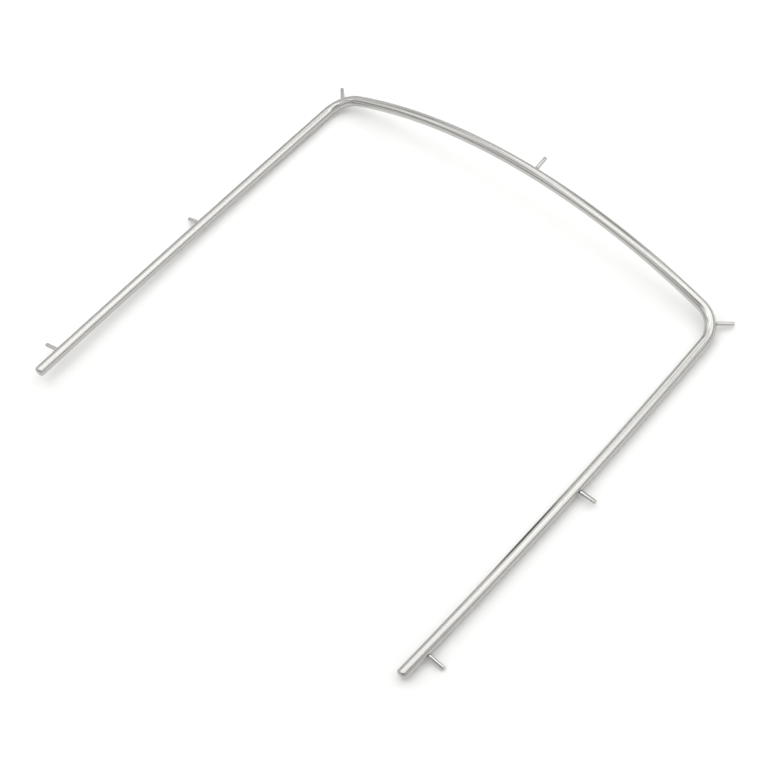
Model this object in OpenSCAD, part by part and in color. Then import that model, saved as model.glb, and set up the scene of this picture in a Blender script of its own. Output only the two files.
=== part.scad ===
// Rubber dam frame.
// A U of round stainless wire carries short pins on its outer side. A sheet of rubber
// is stretched over the pins and the frame holds it open in front of the face.
// The two arms lie on the table, with their free ends towards -Y. The crossbar joins
// them at +Y and arches up, because the frame is curved to follow the face.
// All sizes are millimetres. The origin is on the table, under the middle of the frame.

/* [Wire] */
// Diameter of the round wire
wire_d = 3.1; // [2:0.1:4]
// Rounding of the rim at the cut ends of the wire
wire_end_round = 0.9; // [0.1:0.05:0.95]

/* [Frame] */
// Distance between the two arms at the corners, on their centrelines
arm_spacing = 140; // [100:1:170]
// Length of an arm on its centreline, from the corner point to the free end
arm_length = 124; // [90:0.5:150]
// How far the middle of an arm bows outwards from a straight line
arm_bow = 1; // [0.3:0.1:3]
// How far the free end of the left arm is sprung up off the table
left_end_lift = 3.2; // [0:0.1:6]
// Radius of the two corner bends on the centreline
corner_radius = 8; // [4:0.1:15]

/* [Crossbar] */
// Slope at which the arch of the crossbar rises from the plane of the arms, in degrees
arch_slope = 20; // [8:0.5:35]
// Lean of the arch away from the arms, in degrees from upright
arch_lean = 15; // [0:1:40]

/* [Pins] */
// Diameter of a pin
pin_d = 1.2; // [0.8:0.05:1.6]
// Free length of a pin, from the surface of the wire to its tip
pin_length = 4.8; // [3:0.1:8]
// Rounding of the rim at the tip of a pin
pin_tip_round = 0.2; // [0.05:0.05:0.35]

// The pins were set by hand, so each has angles of its own. Its turn is its angle in
// plan, which is 0 straight out from an arm and 90 straight out from the crossbar. Its
// drop is how far it points down from the plane of the arms. Both are in degrees.

/* [Left pins] */
// Distance along the left arm from its free end to its end pin
left_end_pin_at = 9; // [4:0.1:20]
// Turn of the left end pin
left_end_pin_turn = -8; // [-15:0.5:15]
// Drop of the left end pin
left_end_pin_drop = 8; // [0:0.5:25]
// Distance along the left arm from its free end to its middle pin
left_middle_pin_at = 65; // [40:0.1:75]
// Turn of the left middle pin
left_middle_pin_turn = -4.5; // [-15:0.5:15]
// Drop of the left middle pin
left_middle_pin_drop = 14.5; // [0:0.5:25]
// Turn of the left corner pin
left_corner_pin_turn = 42.5; // [30:0.5:60]
// Drop of the left corner pin
left_corner_pin_drop = 3.5; // [0:0.5:25]

/* [Centre pin] */
// Distance of the centre pin from the middle of the crossbar, to the right
centre_pin_offset = 4.9; // [0:0.1:10]
// Turn of the centre pin
centre_pin_turn = 98; // [75:0.5:105]
// Drop of the centre pin
centre_pin_drop = 6.5; // [0:0.5:25]

/* [Right pins] */
// Turn of the right corner pin
right_corner_pin_turn = 44.5; // [30:0.5:60]
// Drop of the right corner pin
right_corner_pin_drop = 14.5; // [0:0.5:25]
// Distance along the right arm from its free end to its middle pin
right_middle_pin_at = 64.2; // [40:0.1:75]
// Turn of the right middle pin
right_middle_pin_turn = 0; // [-15:0.5:15]
// Drop of the right middle pin
right_middle_pin_drop = 2; // [0:0.5:25]
// Distance along the right arm from its free end to its end pin
right_end_pin_at = 8.3; // [4:0.1:20]
// Turn of the right end pin
right_end_pin_turn = 1; // [-15:0.5:15]
// Drop of the right end pin
right_end_pin_drop = 15; // [0:0.5:25]

/* [Pin seats] */
// Diameter of the turned-down foot of a pin, which stands in a drilled seat
foot_d = 0.75; // [0.5:0.05:0.75]
// Depth of the seat below the surface of the wire
seat_depth = 1; // [0.6:0.05:1.3]
// Gap for solder all round the foot of a pin in its seat
seat_gap = 0.02; // [0.01:0.01:0.05]
// Gap for solder between the shoulder of a pin and the surface of the wire
shoulder_gap = 0.15; // [0.1:0.01:0.25]

/* [Hidden] */

// A ball this much proud of the wire sits in each joint between two stretches, and the
// end caps are as proud, so that neighbours overlap and the wire is one solid
joint_proud = 0.005;
cap_overlap = 0.3;

// Facets round the wire and round a pin, and steps along each kind of bend
wire_sides = 40;
pin_sides = 32;
arm_steps = 10;
corner_steps = 14;
arch_steps = 36;

steel = [0.76, 0.76, 0.74];
pin_steel = [0.70, 0.70, 0.69];

wire_r = wire_d / 2;
pin_r = pin_d / 2;
foot_r = foot_d / 2;

function unit(v) = v / norm(v);
// The part of v that is square to the unit direction d, made one long
function square_to(v, d) = unit(v - d * (v * d));
function mirrored(v) = [-v[0], v[1], v[2]];
// Angle in degrees that a run covers on a radius
function swept(run, radius) = run / radius * 180 / PI;

// Everything below is worked out for the right half. The left half mirrors it.
across = [1, 0, 0];
arch_up = [0, sin(arch_lean), cos(arch_lean)];

// Directions of the wire where the arch ends and where the arm begins
arch_end_dir = across * cos(arch_slope) - arch_up * sin(arch_slope);
arm_dir = unit([4 * arm_bow / arm_length, -1, 0]);

// The corner bend touches both directions, which meet at the corner point
corner_point = across * arm_spacing / 2;
corner_turn = acos(arch_end_dir * arm_dir);
corner_reach = corner_radius * tan(corner_turn / 2);
corner_side = square_to(arm_dir, arch_end_dir);
arch_end = corner_point - arch_end_dir * corner_reach;
arm_start = corner_point + arm_dir * corner_reach;
corner_centre = arch_end + corner_side * corner_radius;
corner_middle = corner_centre + unit(arch_end_dir - arm_dir) * corner_radius;

// The arch is one arc from corner to corner
arch_radius = arch_end[0] / sin(arch_slope);
arch_centre = arch_end - (across * sin(arch_slope) + arch_up * cos(arch_slope)) * arch_radius;
function arch_point(x) = arch_centre + across * x + arch_up * sqrt(arch_radius ^ 2 - x ^ 2);

// An arm is one shallow arc. Its curvature adds the bow, inwards, to the lift, upwards.
arm_run = arm_length - corner_reach;
function arm_curvature(lift) = [-8 * arm_bow, 0, 2 * lift] / arm_length ^ 2;
function arm_radius(lift) = 1 / norm(arm_curvature(lift));
function arm_side(lift) = square_to(arm_curvature(lift), arm_dir);
function arm_turn(lift, run) = swept(run, arm_radius(lift));
function arm_point(lift, run) =
    arm_start
    + arm_dir * arm_radius(lift) * sin(arm_turn(lift, run))
    + arm_side(lift) * arm_radius(lift) * (1 - cos(arm_turn(lift, run)));
function arm_heading(lift, run) =
    arm_dir * cos(arm_turn(lift, run)) + arm_side(lift) * sin(arm_turn(lift, run));

// Direction of a pin on the right half
function pin_dir(turn, drop) =
    [cos(turn) * cos(drop), sin(turn) * cos(drop), -sin(drop)];

// Each pin's root, which is a point of the wire's centreline, and its direction
left_end = [mirrored(arm_point(left_end_lift, arm_run - left_end_pin_at)),
            mirrored(pin_dir(left_end_pin_turn, left_end_pin_drop))];
left_middle = [mirrored(arm_point(left_end_lift, arm_run - left_middle_pin_at)),
               mirrored(pin_dir(left_middle_pin_turn, left_middle_pin_drop))];
left_corner = [mirrored(corner_middle),
               mirrored(pin_dir(left_corner_pin_turn, left_corner_pin_drop))];
centre = [arch_point(centre_pin_offset), pin_dir(centre_pin_turn, centre_pin_drop)];
right_corner = [corner_middle, pin_dir(right_corner_pin_turn, right_corner_pin_drop)];
right_middle = [arm_point(0, arm_run - right_middle_pin_at),
                pin_dir(right_middle_pin_turn, right_middle_pin_drop)];
right_end = [arm_point(0, arm_run - right_end_pin_at),
             pin_dir(right_end_pin_turn, right_end_pin_drop)];
PINS = [left_end, left_middle, left_corner, centre, right_corner, right_middle, right_end];
pin_tip_r = wire_r + pin_length;

// How far the rounded tip of a round bar reaches in the unit direction n, where the tip
// is a length away from a point along dir
function tip_reach(at, dir, length, r, rounding, n) =
    at * n + (length - rounding) * (dir * n)
    + (r - rounding) * sqrt(1 - (dir * n) ^ 2) + rounding;
function pins_reach(n) =
    max([for (p = PINS) tip_reach(p[0], p[1], pin_tip_r, pin_r, pin_tip_round, n)]);
function ends_reach(n) =
    max([for (lift = [0, left_end_lift])
        tip_reach(arm_point(lift, arm_run), arm_heading(lift, arm_run), 0,
                  wire_r, wire_end_round, n)]);

// The origin is under the middle of the overall box. The table is under the lowest pin.
origin_shift = [(pins_reach(-across) - pins_reach(across)) / 2,
                (ends_reach([0, -1, 0]) - pins_reach([0, 1, 0])) / 2,
                max(pins_reach([0, 0, -1]), wire_r)];

// Carries its children to a place and turns their X and Y to the given directions
module place(at, x_dir, y_dir) {
    z_dir = cross(x_dir, y_dir);
    multmatrix([[x_dir[0], y_dir[0], z_dir[0], at[0]],
                [x_dir[1], y_dir[1], z_dir[1], at[1]],
                [x_dir[2], y_dir[2], z_dir[2], at[2]],
                [0, 0, 0, 1]])
        children();
}

// Carries its children to a place and turns their Z to the given direction
module aim(at, dir)
    translate(at)
        rotate([0, acos(dir[2]), atan2(dir[1], dir[0])])
            children();

// A stretch of wire that leaves a point along dir and curves towards side
module bend(from, dir, side, radius, angle, steps)
    place(from, -side, dir)
        translate([-radius, 0, 0])
            rotate_extrude(angle = angle, $fn = ceil(steps * 360 / angle))
                translate([radius, 0])
                    circle(r = wire_r, $fn = wire_sides);

// The ball in the joint between two stretches
module joint(at)
    translate(at)
        sphere(r = wire_r + joint_proud, $fn = wire_sides);

// A short round end with its rim rounded, from z = 0 up to the height of the rounding
module round_end(r, rounding, sides)
    rotate_extrude($fn = sides) {
        square([r - rounding, rounding]);
        translate([r - rounding, 0])
            intersection() {
                circle(r = rounding, $fn = sides);
                square(rounding);
            }
    }

module arch()
    bend(mirrored(arch_end),
         across * cos(arch_slope) + arch_up * sin(arch_slope),
         across * sin(arch_slope) - arch_up * cos(arch_slope),
         arch_radius, 2 * arch_slope, arch_steps);

module corner_and_arm(lift) {
    straight_run = arm_run - wire_end_round;
    joint(arch_end);
    bend(arch_end, arch_end_dir, corner_side, corner_radius, corner_turn, corner_steps);
    joint(arm_start);
    bend(arm_start, arm_dir, arm_side(lift), arm_radius(lift),
         arm_turn(lift, straight_run), arm_steps);
    aim(arm_point(lift, straight_run), arm_heading(lift, straight_run)) {
        translate([0, 0, -cap_overlap])
            cylinder(r = wire_r + joint_proud, h = cap_overlap, $fn = wire_sides);
        round_end(wire_r + joint_proud, wire_end_round, wire_sides);
    }
}

// A drilled seat, from its floor out past the surface of the wire
module seat(at, dir)
    aim(at, dir)
        translate([0, 0, wire_r - seat_depth])
            cylinder(r = foot_r + seat_gap, h = seat_depth + wire_r, $fn = pin_sides);

// A pin: its foot from the floor of the seat up to the shoulder, then its free part
module pin(at, dir)
    aim(at, dir) {
        translate([0, 0, wire_r - seat_depth])
            cylinder(r = foot_r, h = seat_depth + shoulder_gap, $fn = pin_sides);
        translate([0, 0, wire_r + shoulder_gap])
            cylinder(r = pin_r, h = pin_length - shoulder_gap - pin_tip_round, $fn = pin_sides);
        translate([0, 0, pin_tip_r - pin_tip_round])
            round_end(pin_r, pin_tip_round, pin_sides);
    }

module frame_wire()
    color(steel)
        translate(origin_shift)
            difference() {
                union() {
                    arch();
                    corner_and_arm(0);
                    mirror(across) corner_and_arm(left_end_lift);
                }
                for (p = PINS)
                    seat(p[0], p[1]);
            }

module placed_pin(p)
    color(pin_steel)
        translate(origin_shift)
            pin(p[0], p[1]);

module left_end_pin() placed_pin(left_end);
module left_middle_pin() placed_pin(left_middle);
module left_corner_pin() placed_pin(left_corner);
module centre_pin() placed_pin(centre);
module right_corner_pin() placed_pin(right_corner);
module right_middle_pin() placed_pin(right_middle);
module right_end_pin() placed_pin(right_end);

frame_wire();
left_end_pin();
left_middle_pin();
left_corner_pin();
centre_pin();
right_corner_pin();
right_middle_pin();
right_end_pin();
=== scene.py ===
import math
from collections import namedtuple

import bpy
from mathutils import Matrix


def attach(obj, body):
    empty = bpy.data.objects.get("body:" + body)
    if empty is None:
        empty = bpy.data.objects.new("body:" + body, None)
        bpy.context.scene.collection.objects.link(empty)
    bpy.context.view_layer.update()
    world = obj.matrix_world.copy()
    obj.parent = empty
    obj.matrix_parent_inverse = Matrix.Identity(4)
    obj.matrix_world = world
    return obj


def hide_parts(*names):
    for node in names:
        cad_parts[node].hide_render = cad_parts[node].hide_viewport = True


bl_info = {
    "name": "Rubber dam frame",
    "version": (1, 0, 0),
    "blender": (4, 5, 0),
    "location": "3D View > Sidebar > Dam frame",
    "description": "Models a U-shaped wire frame with pins that hold a stretched rubber sheet",
    "category": "Object",
}

from mathutils import Matrix, Vector

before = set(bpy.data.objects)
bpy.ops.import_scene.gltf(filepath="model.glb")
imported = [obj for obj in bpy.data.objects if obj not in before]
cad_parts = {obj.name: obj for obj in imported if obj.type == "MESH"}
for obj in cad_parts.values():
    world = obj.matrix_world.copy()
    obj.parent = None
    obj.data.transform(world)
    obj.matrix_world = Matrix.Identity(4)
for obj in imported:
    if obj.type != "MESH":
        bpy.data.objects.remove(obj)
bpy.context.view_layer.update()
ACROSS = Vector((1, 0, 0))
MM = 0.001
HAIR = 1e-6     # places closer than this are one place, in metres


class DamFrameSizes(bpy.types.PropertyGroup):
    """Sizes of the bent wire"""

    wire_diameter: bpy.props.FloatProperty(
        name="Wire diameter", description="Diameter of the round wire",
        default=3.1 * MM, min=2 * MM, max=4 * MM, unit="LENGTH", subtype="DISTANCE")
    end_round: bpy.props.FloatProperty(
        name="End rounding", description="Rounding of the rim at the cut ends",
        default=0.9 * MM, min=0.1 * MM, max=0.95 * MM, unit="LENGTH", subtype="DISTANCE")
    arm_spacing: bpy.props.FloatProperty(
        name="Arm spacing", description="Distance between the arms at the corners",
        default=140 * MM, min=100 * MM, max=170 * MM, unit="LENGTH", subtype="DISTANCE")
    arm_length: bpy.props.FloatProperty(
        name="Arm length", description="From the corner point to the free end",
        default=124 * MM, min=90 * MM, max=150 * MM, unit="LENGTH", subtype="DISTANCE")
    arm_bow: bpy.props.FloatProperty(
        name="Arm bow", description="How far the middle of an arm bows outwards",
        default=1 * MM, min=0.3 * MM, max=3 * MM, unit="LENGTH", subtype="DISTANCE")
    left_end_lift: bpy.props.FloatProperty(
        name="Left end lift", description="How far the left arm's free end is sprung up",
        default=3.2 * MM, min=0, max=6 * MM, unit="LENGTH", subtype="DISTANCE")
    corner_radius: bpy.props.FloatProperty(
        name="Corner radius", description="Radius of the corner bends on the centreline",
        default=8 * MM, min=4 * MM, max=15 * MM, unit="LENGTH", subtype="DISTANCE")
    arch_slope: bpy.props.FloatProperty(
        name="Arch slope", description="Slope at which the crossbar rises from the arms",
        default=math.radians(20), unit="ROTATION", subtype="ANGLE")
    arch_lean: bpy.props.FloatProperty(
        name="Arch lean", description="Lean of the arch away from the arms",
        default=math.radians(15), unit="ROTATION", subtype="ANGLE")


def pin_place(name, at):
    return bpy.props.FloatProperty(
        name=name, description="Distance along the arm from its free end",
        default=at * MM, unit="LENGTH", subtype="DISTANCE")


def pin_angles(name, turn, drop):
    """The pins were set by hand, so each has angles of its own"""
    return bpy.props.FloatVectorProperty(
        name=name, description="Turn in plan, 0 straight out from an arm, and drop",
        size=2, default=(math.radians(turn), math.radians(drop)), unit="ROTATION")


class DamFramePinSizes(bpy.types.PropertyGroup):
    """Sizes and places of the pins"""

    pin_diameter: bpy.props.FloatProperty(
        name="Pin diameter", description="Diameter of the free part of a pin",
        default=1.2 * MM, min=0.8 * MM, max=1.6 * MM, unit="LENGTH", subtype="DISTANCE")
    pin_length: bpy.props.FloatProperty(
        name="Pin length", description="From the surface of the wire to the tip",
        default=4.8 * MM, min=3 * MM, max=8 * MM, unit="LENGTH", subtype="DISTANCE")
    tip_round: bpy.props.FloatProperty(
        name="Tip rounding", description="Rounding of the rim at the tip",
        default=0.2 * MM, min=0.05 * MM, max=0.35 * MM, unit="LENGTH", subtype="DISTANCE")
    foot_diameter: bpy.props.FloatProperty(
        name="Foot diameter", description="Diameter of the foot that stands in its seat",
        default=0.75 * MM, min=0.5 * MM, max=0.75 * MM, unit="LENGTH", subtype="DISTANCE")
    seat_depth: bpy.props.FloatProperty(
        name="Seat depth", description="Depth of the drilled seat in the wire",
        default=1 * MM, min=0.6 * MM, max=1.3 * MM, unit="LENGTH", subtype="DISTANCE")
    shoulder_gap: bpy.props.FloatProperty(
        name="Shoulder gap", description="Gap for solder under the shoulder of a pin",
        default=0.15 * MM, min=0.1 * MM, max=0.25 * MM, unit="LENGTH", subtype="DISTANCE")
    left_end_at: pin_place("Left end pin", 9)
    left_end_angles: pin_angles("Left end pin", -8, 8)
    left_middle_at: pin_place("Left middle pin", 65)
    left_middle_angles: pin_angles("Left middle pin", -4.5, 14.5)
    left_corner_angles: pin_angles("Left corner pin", 42.5, 3.5)
    centre_offset: bpy.props.FloatProperty(
        name="Centre pin", description="Distance from the middle of the crossbar",
        default=4.9 * MM, unit="LENGTH", subtype="DISTANCE")
    centre_angles: pin_angles("Centre pin", 98, 6.5)
    right_corner_angles: pin_angles("Right corner pin", 44.5, 14.5)
    right_middle_at: pin_place("Right middle pin", 64.2)
    right_middle_angles: pin_angles("Right middle pin", 0, 2)
    right_end_at: pin_place("Right end pin", 8.3)
    right_end_angles: pin_angles("Right end pin", 1, 15)


class DamFrameFinish(bpy.types.PropertyGroup):
    """Colours and finish, and the stage"""

    wire_hex: bpy.props.StringProperty(
        name="Wire colour", description="Reflection colour of the wire, sRGB hex",
        default="BDBCB9")
    wire_roughness: bpy.props.FloatProperty(
        name="Wire roughness", description="How soft the reflections on the wire are",
        default=0.22, min=0.05, max=1, subtype="FACTOR")
    pin_hex: bpy.props.StringProperty(
        name="Pin colour", description="Reflection colour of the pins, sRGB hex",
        default="C1C0BD")
    pin_roughness: bpy.props.FloatProperty(
        name="Pin roughness", description="How soft the reflections on the pins are",
        default=0.15, min=0.05, max=1, subtype="FACTOR")
    table_hex: bpy.props.StringProperty(
        name="Table colour", description="Colour of the table, sRGB hex",
        default="FFFFFE")
    camera_lens: bpy.props.FloatProperty(
        name="Lens", description="Focal length on a 36 mm wide sensor",
        default=74.85 * MM, unit="CAMERA", subtype="DISTANCE_CAMERA")


# A stretch of wire: it leaves start along heading and curves towards side
Bend = namedtuple("Bend", "start heading side radius angle")


def unit(v):
    return v.normalized()


def square_to(v, direction):
    return unit(v - direction * v.dot(direction))


def mirrored(v):
    return Vector((-v.x, v.y, v.z))


def on_bend(bend, run):
    """The point of the centreline at a run along a bend, and its heading and side"""
    turn = run / bend.radius
    heading = bend.heading * math.cos(turn) + bend.side * math.sin(turn)
    side = bend.side * math.cos(turn) - bend.heading * math.sin(turn)
    centre = bend.start + bend.side * bend.radius
    return centre - side * bend.radius, heading, side


def other_way(bend):
    """The same stretch, walked from its far end"""
    point, heading, side = on_bend(bend, bend.radius * bend.angle)
    return Bend(point, -heading, side, bend.radius, bend.angle)


def other_half(bend):
    return Bend(mirrored(bend.start), mirrored(bend.heading), mirrored(bend.side),
                bend.radius, bend.angle)


def pin_direction(angles):
    """Direction of a pin on the right half"""
    turn, drop = angles
    return Vector((math.cos(turn) * math.cos(drop), math.sin(turn) * math.cos(drop),
                   -math.sin(drop)))


def tip_reach(at, direction, length, radius, rounding, way):
    """How far the rounded tip of a round bar reaches along a unit vector"""
    along = direction.dot(way)
    return at.dot(way) + (length - rounding) * along \
        + (radius - rounding) * math.sqrt(1 - along ** 2) + rounding


def frame_line(wire, pins):
    """The wire's centreline as five bends, from the left free end to the right one,
    and the root and direction of each pin"""
    slope, lean = wire.arch_slope, wire.arch_lean
    arch_up = Vector((0, math.sin(lean), math.cos(lean)))
    arch_end_dir = ACROSS * math.cos(slope) - arch_up * math.sin(slope)
    arm_dir = unit(Vector((4 * wire.arm_bow / wire.arm_length, -1, 0)))
    corner_point = ACROSS * wire.arm_spacing / 2
    corner_turn = arch_end_dir.angle(arm_dir)
    reach = wire.corner_radius * math.tan(corner_turn / 2)
    arch_end = corner_point - arch_end_dir * reach
    corner = Bend(arch_end, arch_end_dir, square_to(arm_dir, arch_end_dir),
                  wire.corner_radius, corner_turn)
    arch = Bend(mirrored(arch_end),
                ACROSS * math.cos(slope) + arch_up * math.sin(slope),
                ACROSS * math.sin(slope) - arch_up * math.cos(slope),
                arch_end.x / math.sin(slope), 2 * slope)
    arm_run = wire.arm_length - reach

    def arm(lift):
        curvature = Vector((-8 * wire.arm_bow, 0, 2 * lift)) / wire.arm_length ** 2
        return Bend(corner_point + arm_dir * reach, arm_dir,
                    square_to(curvature, arm_dir), 1 / curvature.length,
                    arm_run * curvature.length)

    right_arm, left_arm = arm(0), arm(wire.left_end_lift)
    corner_middle = on_bend(corner, corner.radius * corner.angle / 2)[0]
    arch_run = arch.radius * (arch.angle / 2 + math.asin(pins.centre_offset / arch.radius))
    placed = {
        "left_end_pin": (on_bend(left_arm, arm_run - pins.left_end_at)[0],
                         pins.left_end_angles),
        "left_middle_pin": (on_bend(left_arm, arm_run - pins.left_middle_at)[0],
                            pins.left_middle_angles),
        "left_corner_pin": (corner_middle, pins.left_corner_angles),
        "centre_pin": (on_bend(arch, arch_run)[0], pins.centre_angles),
        "right_corner_pin": (corner_middle, pins.right_corner_angles),
        "right_middle_pin": (on_bend(right_arm, arm_run - pins.right_middle_at)[0],
                             pins.right_middle_angles),
        "right_end_pin": (on_bend(right_arm, arm_run - pins.right_end_at)[0],
                          pins.right_end_angles),
    }
    for name, (root, angles) in placed.items():
        direction = pin_direction(angles)
        if name.startswith("left"):
            root, direction = mirrored(root), mirrored(direction)
        placed[name] = root, direction

    # The origin is under the middle of the overall box, and the table is under the
    # lowest pin
    radius = wire.wire_diameter / 2

    def pins_reach(*way):
        return max(tip_reach(root, direction, radius + pins.pin_length,
                             pins.pin_diameter / 2, pins.tip_round, Vector(way))
                   for root, direction in placed.values())

    ends_reach = max(tip_reach(*on_bend(line, arm_run)[:2], 0, radius, wire.end_round,
                               Vector((0, -1, 0))) for line in (left_arm, right_arm))
    shift = Vector(((pins_reach(-1, 0, 0) - pins_reach(1, 0, 0)) / 2,
                    (ends_reach - pins_reach(0, 1, 0)) / 2,
                    max(pins_reach(0, 0, -1), radius)))
    bends = [other_way(other_half(left_arm)), other_way(other_half(corner)),
             arch, corner, right_arm]
    bends = [bend._replace(start=bend.start + shift) for bend in bends]
    placed = {name: (root + shift, direction) for name, (root, direction) in placed.items()}
    return bends, placed


def linear(hex_colour):
    """An sRGB hex colour as linear red, green, blue and alpha"""
    parts = [int(hex_colour[i:i + 2], 16) / 255 for i in (0, 2, 4)]
    return [p / 12.92 if p <= 0.04045 else ((p + 0.055) / 1.055) ** 2.4 for p in parts] + [1]


def add(tree, kind, links=None, values=None, **settings):
    """Adds a node, sets it and its inputs, and links other nodes' outputs to it"""
    node = tree.nodes.new(kind)
    for name, value in settings.items():
        setattr(node, name, value)
    for name, value in (values or {}).items():
        node.inputs[name].default_value = value
    for name, output in (links or {}).items():
        tree.links.new(output, node.inputs[name])
    return node


def start_material(name):
    material = bpy.data.materials.new(name)
    material.use_nodes = True
    material.node_tree.nodes.clear()
    return material, material.node_tree


def painted_dark_reflection(tree, place, colour, run, around, length, width):
    """A painted reflection on the wire: a dark streak painted into the steel's colour where
    the steel would mirror a dark thing nearby, drawn as a long oval with soft edges. Its
    middle is at a run along the wire and an angle around it, and it reaches length and width
    from there.
    Gives the colour of the steel with the painted dark reflection on it."""
    parts = add(tree, "ShaderNodeSeparateXYZ", {"Vector": place})
    angle = add(tree, "ShaderNodeMath", {0: parts.outputs["Y"], 1: parts.outputs["X"]},
                operation="ARCTAN2")
    flat = add(tree, "ShaderNodeCombineXYZ",
               {"X": angle.outputs["Value"], "Y": parts.outputs["Z"]})
    oval = add(tree, "ShaderNodeMapping", {"Vector": flat.outputs["Vector"]},
               {"Location": (-around / width, -run / length, 0),
                "Scale": (1 / width, 1 / length, 1)})
    off = add(tree, "ShaderNodeVectorMath", {0: oval.outputs["Vector"]}, operation="LENGTH")
    dark = add(tree, "ShaderNodeMapRange", {"Value": off.outputs["Value"]},
               {"From Min": 0.4, "From Max": 1.0, "To Min": 1.0, "To Max": 0.0},
               interpolation_type="SMOOTHSTEP")
    mixed = add(tree, "ShaderNodeMix", {"Factor": dark.outputs["Result"]},
                data_type="RGBA")
    mixed.inputs["A"].default_value = colour
    mixed.inputs["B"].default_value = [part * 0.2 for part in colour[:3]] + [1]
    return mixed.outputs["Result"]


def drawn_stainless(name, colour, roughness, painted_reflection=None):
    """Stainless steel wire, drawn and then polished: bright, with soft-edged reflections.
    Faint lines run along it, and the polish is a little uneven from place to place."""
    material, tree = start_material(name)
    place = add(tree, "ShaderNodeAttribute", attribute_name="straight").outputs["Vector"]
    # Drawing lines are about 0.05 mm apart, too fine to show. They are drawn 0.3 mm
    # apart and 15 mm long here.
    stretch = add(tree, "ShaderNodeMapping", {"Vector": place},
                  {"Scale": (3300, 3300, 70)})
    lines = add(tree, "ShaderNodeTexNoise", {"Vector": stretch.outputs["Vector"]},
                {"Scale": 1.0, "Detail": 2.0, "Roughness": 0.5})
    # Patches of polish 6 mm long
    patches = add(tree, "ShaderNodeTexNoise", {"Vector": place},
                  {"Scale": 160.0, "Detail": 1.0, "Roughness": 0.5})
    both = add(tree, "ShaderNodeMath", {0: lines.outputs["Fac"], 1: patches.outputs["Fac"]},
               operation="ADD")
    rough = add(tree, "ShaderNodeMapRange", {"Value": both.outputs["Value"]},
                {"From Min": 0.6, "From Max": 1.4, "To Min": roughness - 0.04,
                 "To Max": roughness + 0.04})
    bump = add(tree, "ShaderNodeBump", {"Height": lines.outputs["Fac"]},
               {"Strength": 0.08, "Distance": 0.00001})
    shader = add(tree, "ShaderNodeBsdfPrincipled",
                 {"Roughness": rough.outputs["Result"], "Normal": bump.outputs["Normal"]},
                 {"Base Color": colour, "Metallic": 1.0})
    # A dark reflection, if given, is painted into the base colour
    if painted_reflection:
        tree.links.new(painted_dark_reflection(tree, place, colour, **painted_reflection), shader.inputs["Base Color"])
    add(tree, "ShaderNodeOutputMaterial", {"Surface": shader.outputs["BSDF"]})
    return material


def white_table(colour):
    """Matt white table top. It shows and reflects as plain white where nothing shades it."""
    material, tree = start_material("matt white laminate")
    matt = add(tree, "ShaderNodeBsdfDiffuse", values={"Color": colour})
    add(tree, "ShaderNodeOutputMaterial", {"Surface": matt.outputs["BSDF"]})
    return material


def deselect_all():
    if bpy.context.object and bpy.context.object.mode != "OBJECT":
        bpy.ops.object.mode_set(mode="OBJECT")
    bpy.ops.object.select_all(action="DESELECT")


def select_only(mesh, kind, wanted):
    """In edit mode: selects the vertices, edges or faces that wanted is true for"""
    bpy.ops.mesh.select_mode(type=kind)
    bpy.ops.mesh.select_all(action="DESELECT")
    bpy.ops.object.mode_set(mode="OBJECT")
    parts = {"VERT": mesh.vertices, "EDGE": mesh.edges, "FACE": mesh.polygons}[kind]
    for part in parts:
        part.select = wanted(part)
    bpy.ops.object.mode_set(mode="EDIT")


def turned_to(direction, at):
    """Placement that turns Z to a direction"""
    return Matrix.Translation(at) @ direction.to_track_quat("Z", "Y").to_matrix().to_4x4()


def finish_piece(piece, material, slot, *nodes):
    """Smooth shading and material; hides the CAD nodes the piece stands in for and hangs it
    from the root body. The slot is not used.
    """
    deselect_all()
    piece.select_set(True)
    bpy.context.view_layer.objects.active = piece
    bpy.ops.object.shade_smooth_by_angle(angle=math.radians(35))
    piece.data.materials.clear()
    piece.data.materials.append(material)
    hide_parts(*nodes)
    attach(piece, "root")


class DAMFRAME_OT_wire(bpy.types.Operator):
    """Bend the frame from one length of round wire"""

    bl_idname = "damframe.wire"
    bl_label = "Bend the wire"

    def execute(self, context):
        wire, pins = context.scene.dam_frame, context.scene.dam_pins
        radius = wire.wire_diameter / 2
        bends = frame_line(wire, pins)[0]
        first = bends[0]
        # Steps of about 1 mm along the arms and the arch, and 0.5 mm in the tight corners
        bend_steps = (110, 20, 128, 20, 110)
        deselect_all()
        bpy.ops.mesh.primitive_circle_add(
            vertices=64, radius=radius, fill_type="NGON", location=first.start,
            rotation=turned_to(first.heading, first.start).to_euler())
        piece = context.object
        piece.name = piece.data.name = "bent_wire"
        bpy.ops.object.transform_apply(location=True, rotation=True, scale=True)
        mesh = piece.data
        bpy.ops.object.mode_set(mode="EDIT")
        bpy.ops.mesh.select_all(action="SELECT")
        for bend, steps in zip(bends, bend_steps):
            bpy.ops.mesh.spin(
                steps=steps, angle=-bend.angle, use_auto_merge=False,
                center=bend.start + bend.side * bend.radius,
                axis=bend.heading.cross(bend.side))
        ends = ((first.start, first.heading),
                on_bend(bends[-1], bends[-1].radius * bends[-1].angle)[:2])

        def on_a_rim(edge):
            points = [mesh.vertices[i].co for i in edge.vertices]
            return any(all(abs((p - at).dot(way)) < HAIR and (p - at).length < 2 * radius
                           for p in points) for at, way in ends)

        select_only(mesh, "EDGE", on_a_rim)
        bpy.ops.mesh.bevel(offset=wire.end_round, segments=10, affect="EDGES")
        bpy.ops.mesh.select_all(action="SELECT")
        bpy.ops.mesh.normals_make_consistent(inside=False)
        bpy.ops.object.mode_set(mode="OBJECT")
        lay_out_straight(mesh, bends)
        finish = context.scene.dam_finish
        # The painted dark reflection is on the upper inner side of the right arm, a little
        # past its middle
        painted_reflection = {"run": 339 * MM, "around": 0.57, "length": 17 * MM, "width": 0.37}
        steel = drawn_stainless("drawn stainless wire", linear(finish.wire_hex),
                                finish.wire_roughness, painted_reflection)
        finish_piece(piece, steel, "wire_steel", "frame_wire")
        return {"FINISHED"}


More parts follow.
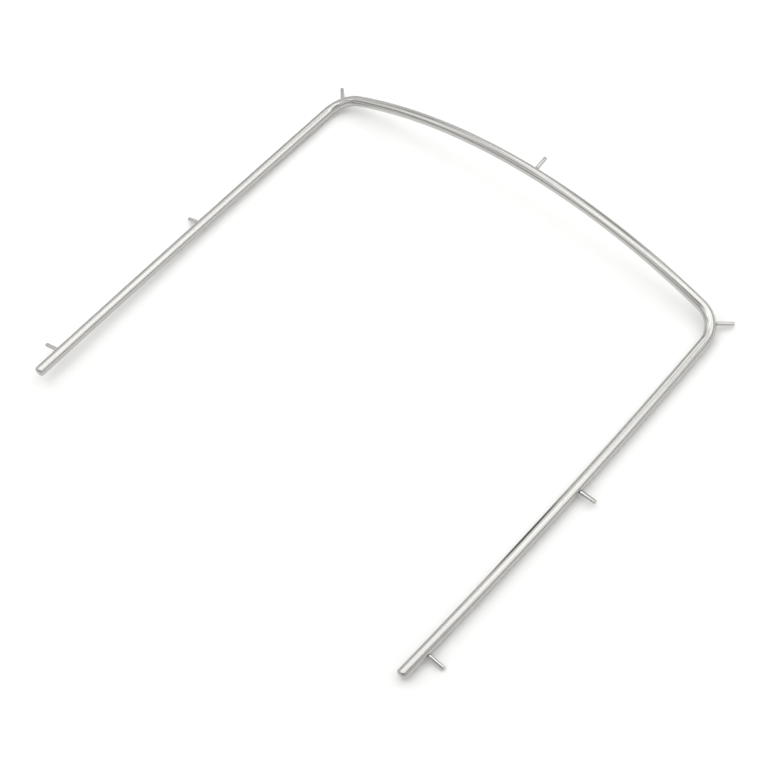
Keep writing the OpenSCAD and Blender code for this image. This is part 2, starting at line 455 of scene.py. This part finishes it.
def lay_out_straight(mesh, bends):
    """Gives each vertex its place on the wire as it was before bending, with Z along it"""
    values = []
    legs = []
    run, x_way = 0.0, square_to(Vector((0, 0, 1)), bends[0].heading)
    for bend in bends:
        legs.append((bend, run, x_way))
        axis = bend.heading.cross(bend.side)
        x_way = Matrix.Rotation(bend.angle, 3, axis) @ x_way
        run += bend.radius * bend.angle
    for vertex in mesh.vertices:
        best = None
        for bend, run, x_way in legs:
            centre = bend.start + bend.side * bend.radius
            off = vertex.co - centre
            turn = math.atan2(off.dot(bend.heading), -off.dot(bend.side))
            turn = min(max(turn, 0), bend.angle)
            at, heading = on_bend(bend, turn * bend.radius)[:2]
            away = vertex.co - at
            if best is None or away.length < best[0]:
                now = Matrix.Rotation(turn, 3, bend.heading.cross(bend.side)) @ x_way
                best = (away.length, away.dot(now), away.dot(heading.cross(now)),
                        run + turn * bend.radius)
        values.extend(best[1:])
    layer = mesh.attributes.new("straight", "FLOAT_VECTOR", "POINT")
    layer.data.foreach_set("vector", values)


class DAMFRAME_OT_pins(bpy.types.Operator):
    """Turn one pin and stand a copy in each seat"""

    bl_idname = "damframe.pins"
    bl_label = "Make the pins"

    def execute(self, context):
        wire, pins = context.scene.dam_frame, context.scene.dam_pins
        wire_radius, pin_radius = wire.wire_diameter / 2, pins.pin_diameter / 2
        foot_radius = pins.foot_diameter / 2
        placed = frame_line(wire, pins)[1]
        floor = wire_radius - pins.seat_depth
        shoulder = wire_radius + pins.shoulder_gap
        tip = wire_radius + pins.pin_length
        deselect_all()
        bpy.ops.mesh.primitive_cylinder_add(
            vertices=40, radius=foot_radius, depth=shoulder - floor,
            location=(0, 0, (floor + shoulder) / 2))
        pattern = context.object
        bpy.ops.object.transform_apply(location=True, rotation=True, scale=True)
        mesh = pattern.data
        # The foot is a plain cylinder. Its upper end grows into the shoulder and the pin.
        bpy.ops.object.mode_set(mode="EDIT")
        select_only(mesh, "FACE", lambda face: face.normal.z > 0.9)
        bpy.ops.mesh.extrude_region_move()
        grow = pin_radius / foot_radius
        bpy.ops.transform.resize(value=(grow, grow, 1), center_override=(0, 0, shoulder))
        bpy.ops.mesh.extrude_region_move(
            TRANSFORM_OT_translate={"value": (0, 0, tip - shoulder)})
        select_only(mesh, "EDGE", lambda edge: all(
            abs(mesh.vertices[i].co.z - tip) < HAIR for i in edge.vertices))
        bpy.ops.mesh.bevel(offset=pins.tip_round, segments=5, affect="EDGES")
        bpy.ops.mesh.select_all(action="SELECT")
        bpy.ops.mesh.normals_make_consistent(inside=False)
        bpy.ops.object.mode_set(mode="OBJECT")

        finish = context.scene.dam_finish
        steel = drawn_stainless("cut stainless pin", linear(finish.pin_hex),
                                finish.pin_roughness)
        for number, (name, (root, direction)) in enumerate(sorted(placed.items())):
            piece = bpy.data.objects.new(name.replace("_pin", "_peg"), mesh.copy())
            context.collection.objects.link(piece)
            layer = piece.data.attributes.new("straight", "FLOAT_VECTOR", "POINT")
            # Each pin is cut from its own stretch of wire, so no two show one pattern
            stretch = Vector((0, 0, 20 * MM * number))
            layer.data.foreach_set("vector", [
                part for vertex in mesh.vertices for part in vertex.co + stretch])
            piece.data.transform(turned_to(direction, root))
            finish_piece(piece, steel, "pin_steel", name)
        bpy.data.objects.remove(pattern)
        return {"FINISHED"}


class DAMFRAME_OT_stage(bpy.types.Operator):
    """Set the table, the light and the camera"""

    bl_idname = "damframe.stage"
    bl_label = "Set the stage"

    def execute(self, context):
        scene, finish = context.scene, context.scene.dam_finish
        deselect_all()
        bpy.ops.mesh.primitive_plane_add(size=1.5, location=(0, 0, 0))
        table = context.object
        table.name = table.data.name = "table_top"
        table.data.materials.append(white_table(linear(finish.table_hex)))

        # A white tent, leaning a little. Its walls are bright at half height and dark where
        # they meet the table, which gives the metal its thin dark edges.
        world = bpy.data.worlds.new("white tent")
        world.use_nodes = True
        scene.world = world
        tree = world.node_tree
        tree.nodes.clear()
        way = add(tree, "ShaderNodeTexCoord").outputs["Generated"]
        height = add(tree, "ShaderNodeVectorMath", {0: way}, {1: (0, 0.15, 1)},
                     operation="DOT_PRODUCT")
        # Brightness of the walls by height, from the table to straight up
        walls = ((0, 0.74), (0.12, 0), (0.3, 1.28), (0.6, 0.33), (1.1, 0))
        top, brightest = walls[-1][0], max(level for at, level in walls)
        part = add(tree, "ShaderNodeMath", {0: height.outputs["Value"]}, {1: top},
                   operation="DIVIDE")
        ramp = add(tree, "ShaderNodeValToRGB", {"Fac": part.outputs["Value"]})
        stops = ramp.color_ramp.elements
        while len(stops) < len(walls):
            stops.new(0.5)
        for stop, (at, level) in zip(stops, walls):
            stop.position = at / top
            stop.color = (level / brightest,) * 3 + (1,)
        room = add(tree, "ShaderNodeBackground", {"Color": ramp.outputs["Color"]},
                   {"Strength": brightest})
        # Behind the table there is a plain white backdrop
        backdrop = add(tree, "ShaderNodeBackground", values={"Color": (1, 1, 1, 1)})
        seen = add(tree, "ShaderNodeLightPath").outputs["Is Camera Ray"]
        both = add(tree, "ShaderNodeMixShader", {0: seen, 1: room.outputs["Background"],
                                                 2: backdrop.outputs["Background"]})
        add(tree, "ShaderNodeOutputWorld", {"Surface": both.outputs["Shader"]})

        # Softboxes over the tent: place, size, turn in degrees and brightness of the face.
        # They overlap, so each hangs at a height of its own: in one plane they would hide
        # each other.
        softboxes = (((0.405, 0.171), (1.52, 0.4), 23.3, 1.61),
                     ((-0.438, 0.569), (1.44, 0.363), -26.1, 1.02),
                     ((-0.468, 0.76), (0.275, 0.497), 29.9, 1.0),
                     ((-0.704, -0.039), (1.19, 0.548), 44.3, 1.04),
                     ((-0.186, -0.464), (0.568, 0.477), 35.9, 0.94),
                     ((0.359, 0.797), (0.67, 0.64), 26.2, 1.9))
        for number, (at, size, turn, bright) in enumerate(softboxes):
            bpy.ops.object.light_add(type="AREA", location=(*at, 0.7 + 0.004 * number),
                                     rotation=(0, 0, math.radians(turn)))
            lamp = context.object
            lamp.name = lamp.data.name = "softbox_%d" % (number + 1)
            lamp.data.shape = "RECTANGLE"
            lamp.data.size, lamp.data.size_y = size
            # A lamp of this many watts has a face of that brightness
            lamp.data.energy = math.pi * size[0] * size[1] * bright
            lamp.visible_camera = False

        # Close above the right arm, looking down on the frame at a slant
        bpy.ops.object.camera_add(
            location=(0.218875, -0.125551, 0.353727),
            rotation=[math.radians(a) for a in (32.4053, 11.4410, 43.5332)])
        camera = context.object
        camera.data.lens = finish.camera_lens / MM
        camera.data.sensor_width = 36
        camera.data.clip_start, camera.data.clip_end = 0.01, 20
        scene.camera = camera
        scene.view_settings.view_transform = "Standard"
        return {"FINISHED"}


class DAMFRAME_PT_steps(bpy.types.Panel):
    """Sizes, finish and steps of the rubber dam frame"""

    bl_idname = "DAMFRAME_PT_steps"
    bl_label = "Rubber dam frame"
    bl_space_type = "VIEW_3D"
    bl_region_type = "UI"
    bl_category = "Dam frame"

    def draw(self, context):
        scene = context.scene
        for title, group in (("Wire", scene.dam_frame), ("Pins", scene.dam_pins),
                             ("Finish", scene.dam_finish)):
            box = self.layout.box()
            box.label(text=title)
            for name in group.__annotations__:
                box.prop(group, name)
        for step in STEPS:
            self.layout.operator(step.bl_idname)


STEPS = (DAMFRAME_OT_wire, DAMFRAME_OT_pins, DAMFRAME_OT_stage)
GROUPS = (DamFrameSizes, DamFramePinSizes, DamFrameFinish)


def register():
    for kind in GROUPS + STEPS + (DAMFRAME_PT_steps,):
        bpy.utils.register_class(kind)
    bpy.types.Scene.dam_frame = bpy.props.PointerProperty(type=DamFrameSizes)
    bpy.types.Scene.dam_pins = bpy.props.PointerProperty(type=DamFramePinSizes)
    bpy.types.Scene.dam_finish = bpy.props.PointerProperty(type=DamFrameFinish)


def unregister():
    del bpy.types.Scene.dam_finish, bpy.types.Scene.dam_pins, bpy.types.Scene.dam_frame
    for kind in (DAMFRAME_PT_steps,) + STEPS[::-1] + GROUPS[::-1]:
        bpy.utils.unregister_class(kind)


def main():
    register()
    bpy.ops.damframe.wire()
    bpy.ops.damframe.pins()
    bpy.ops.damframe.stage()


if __name__ == "__main__":
    main()
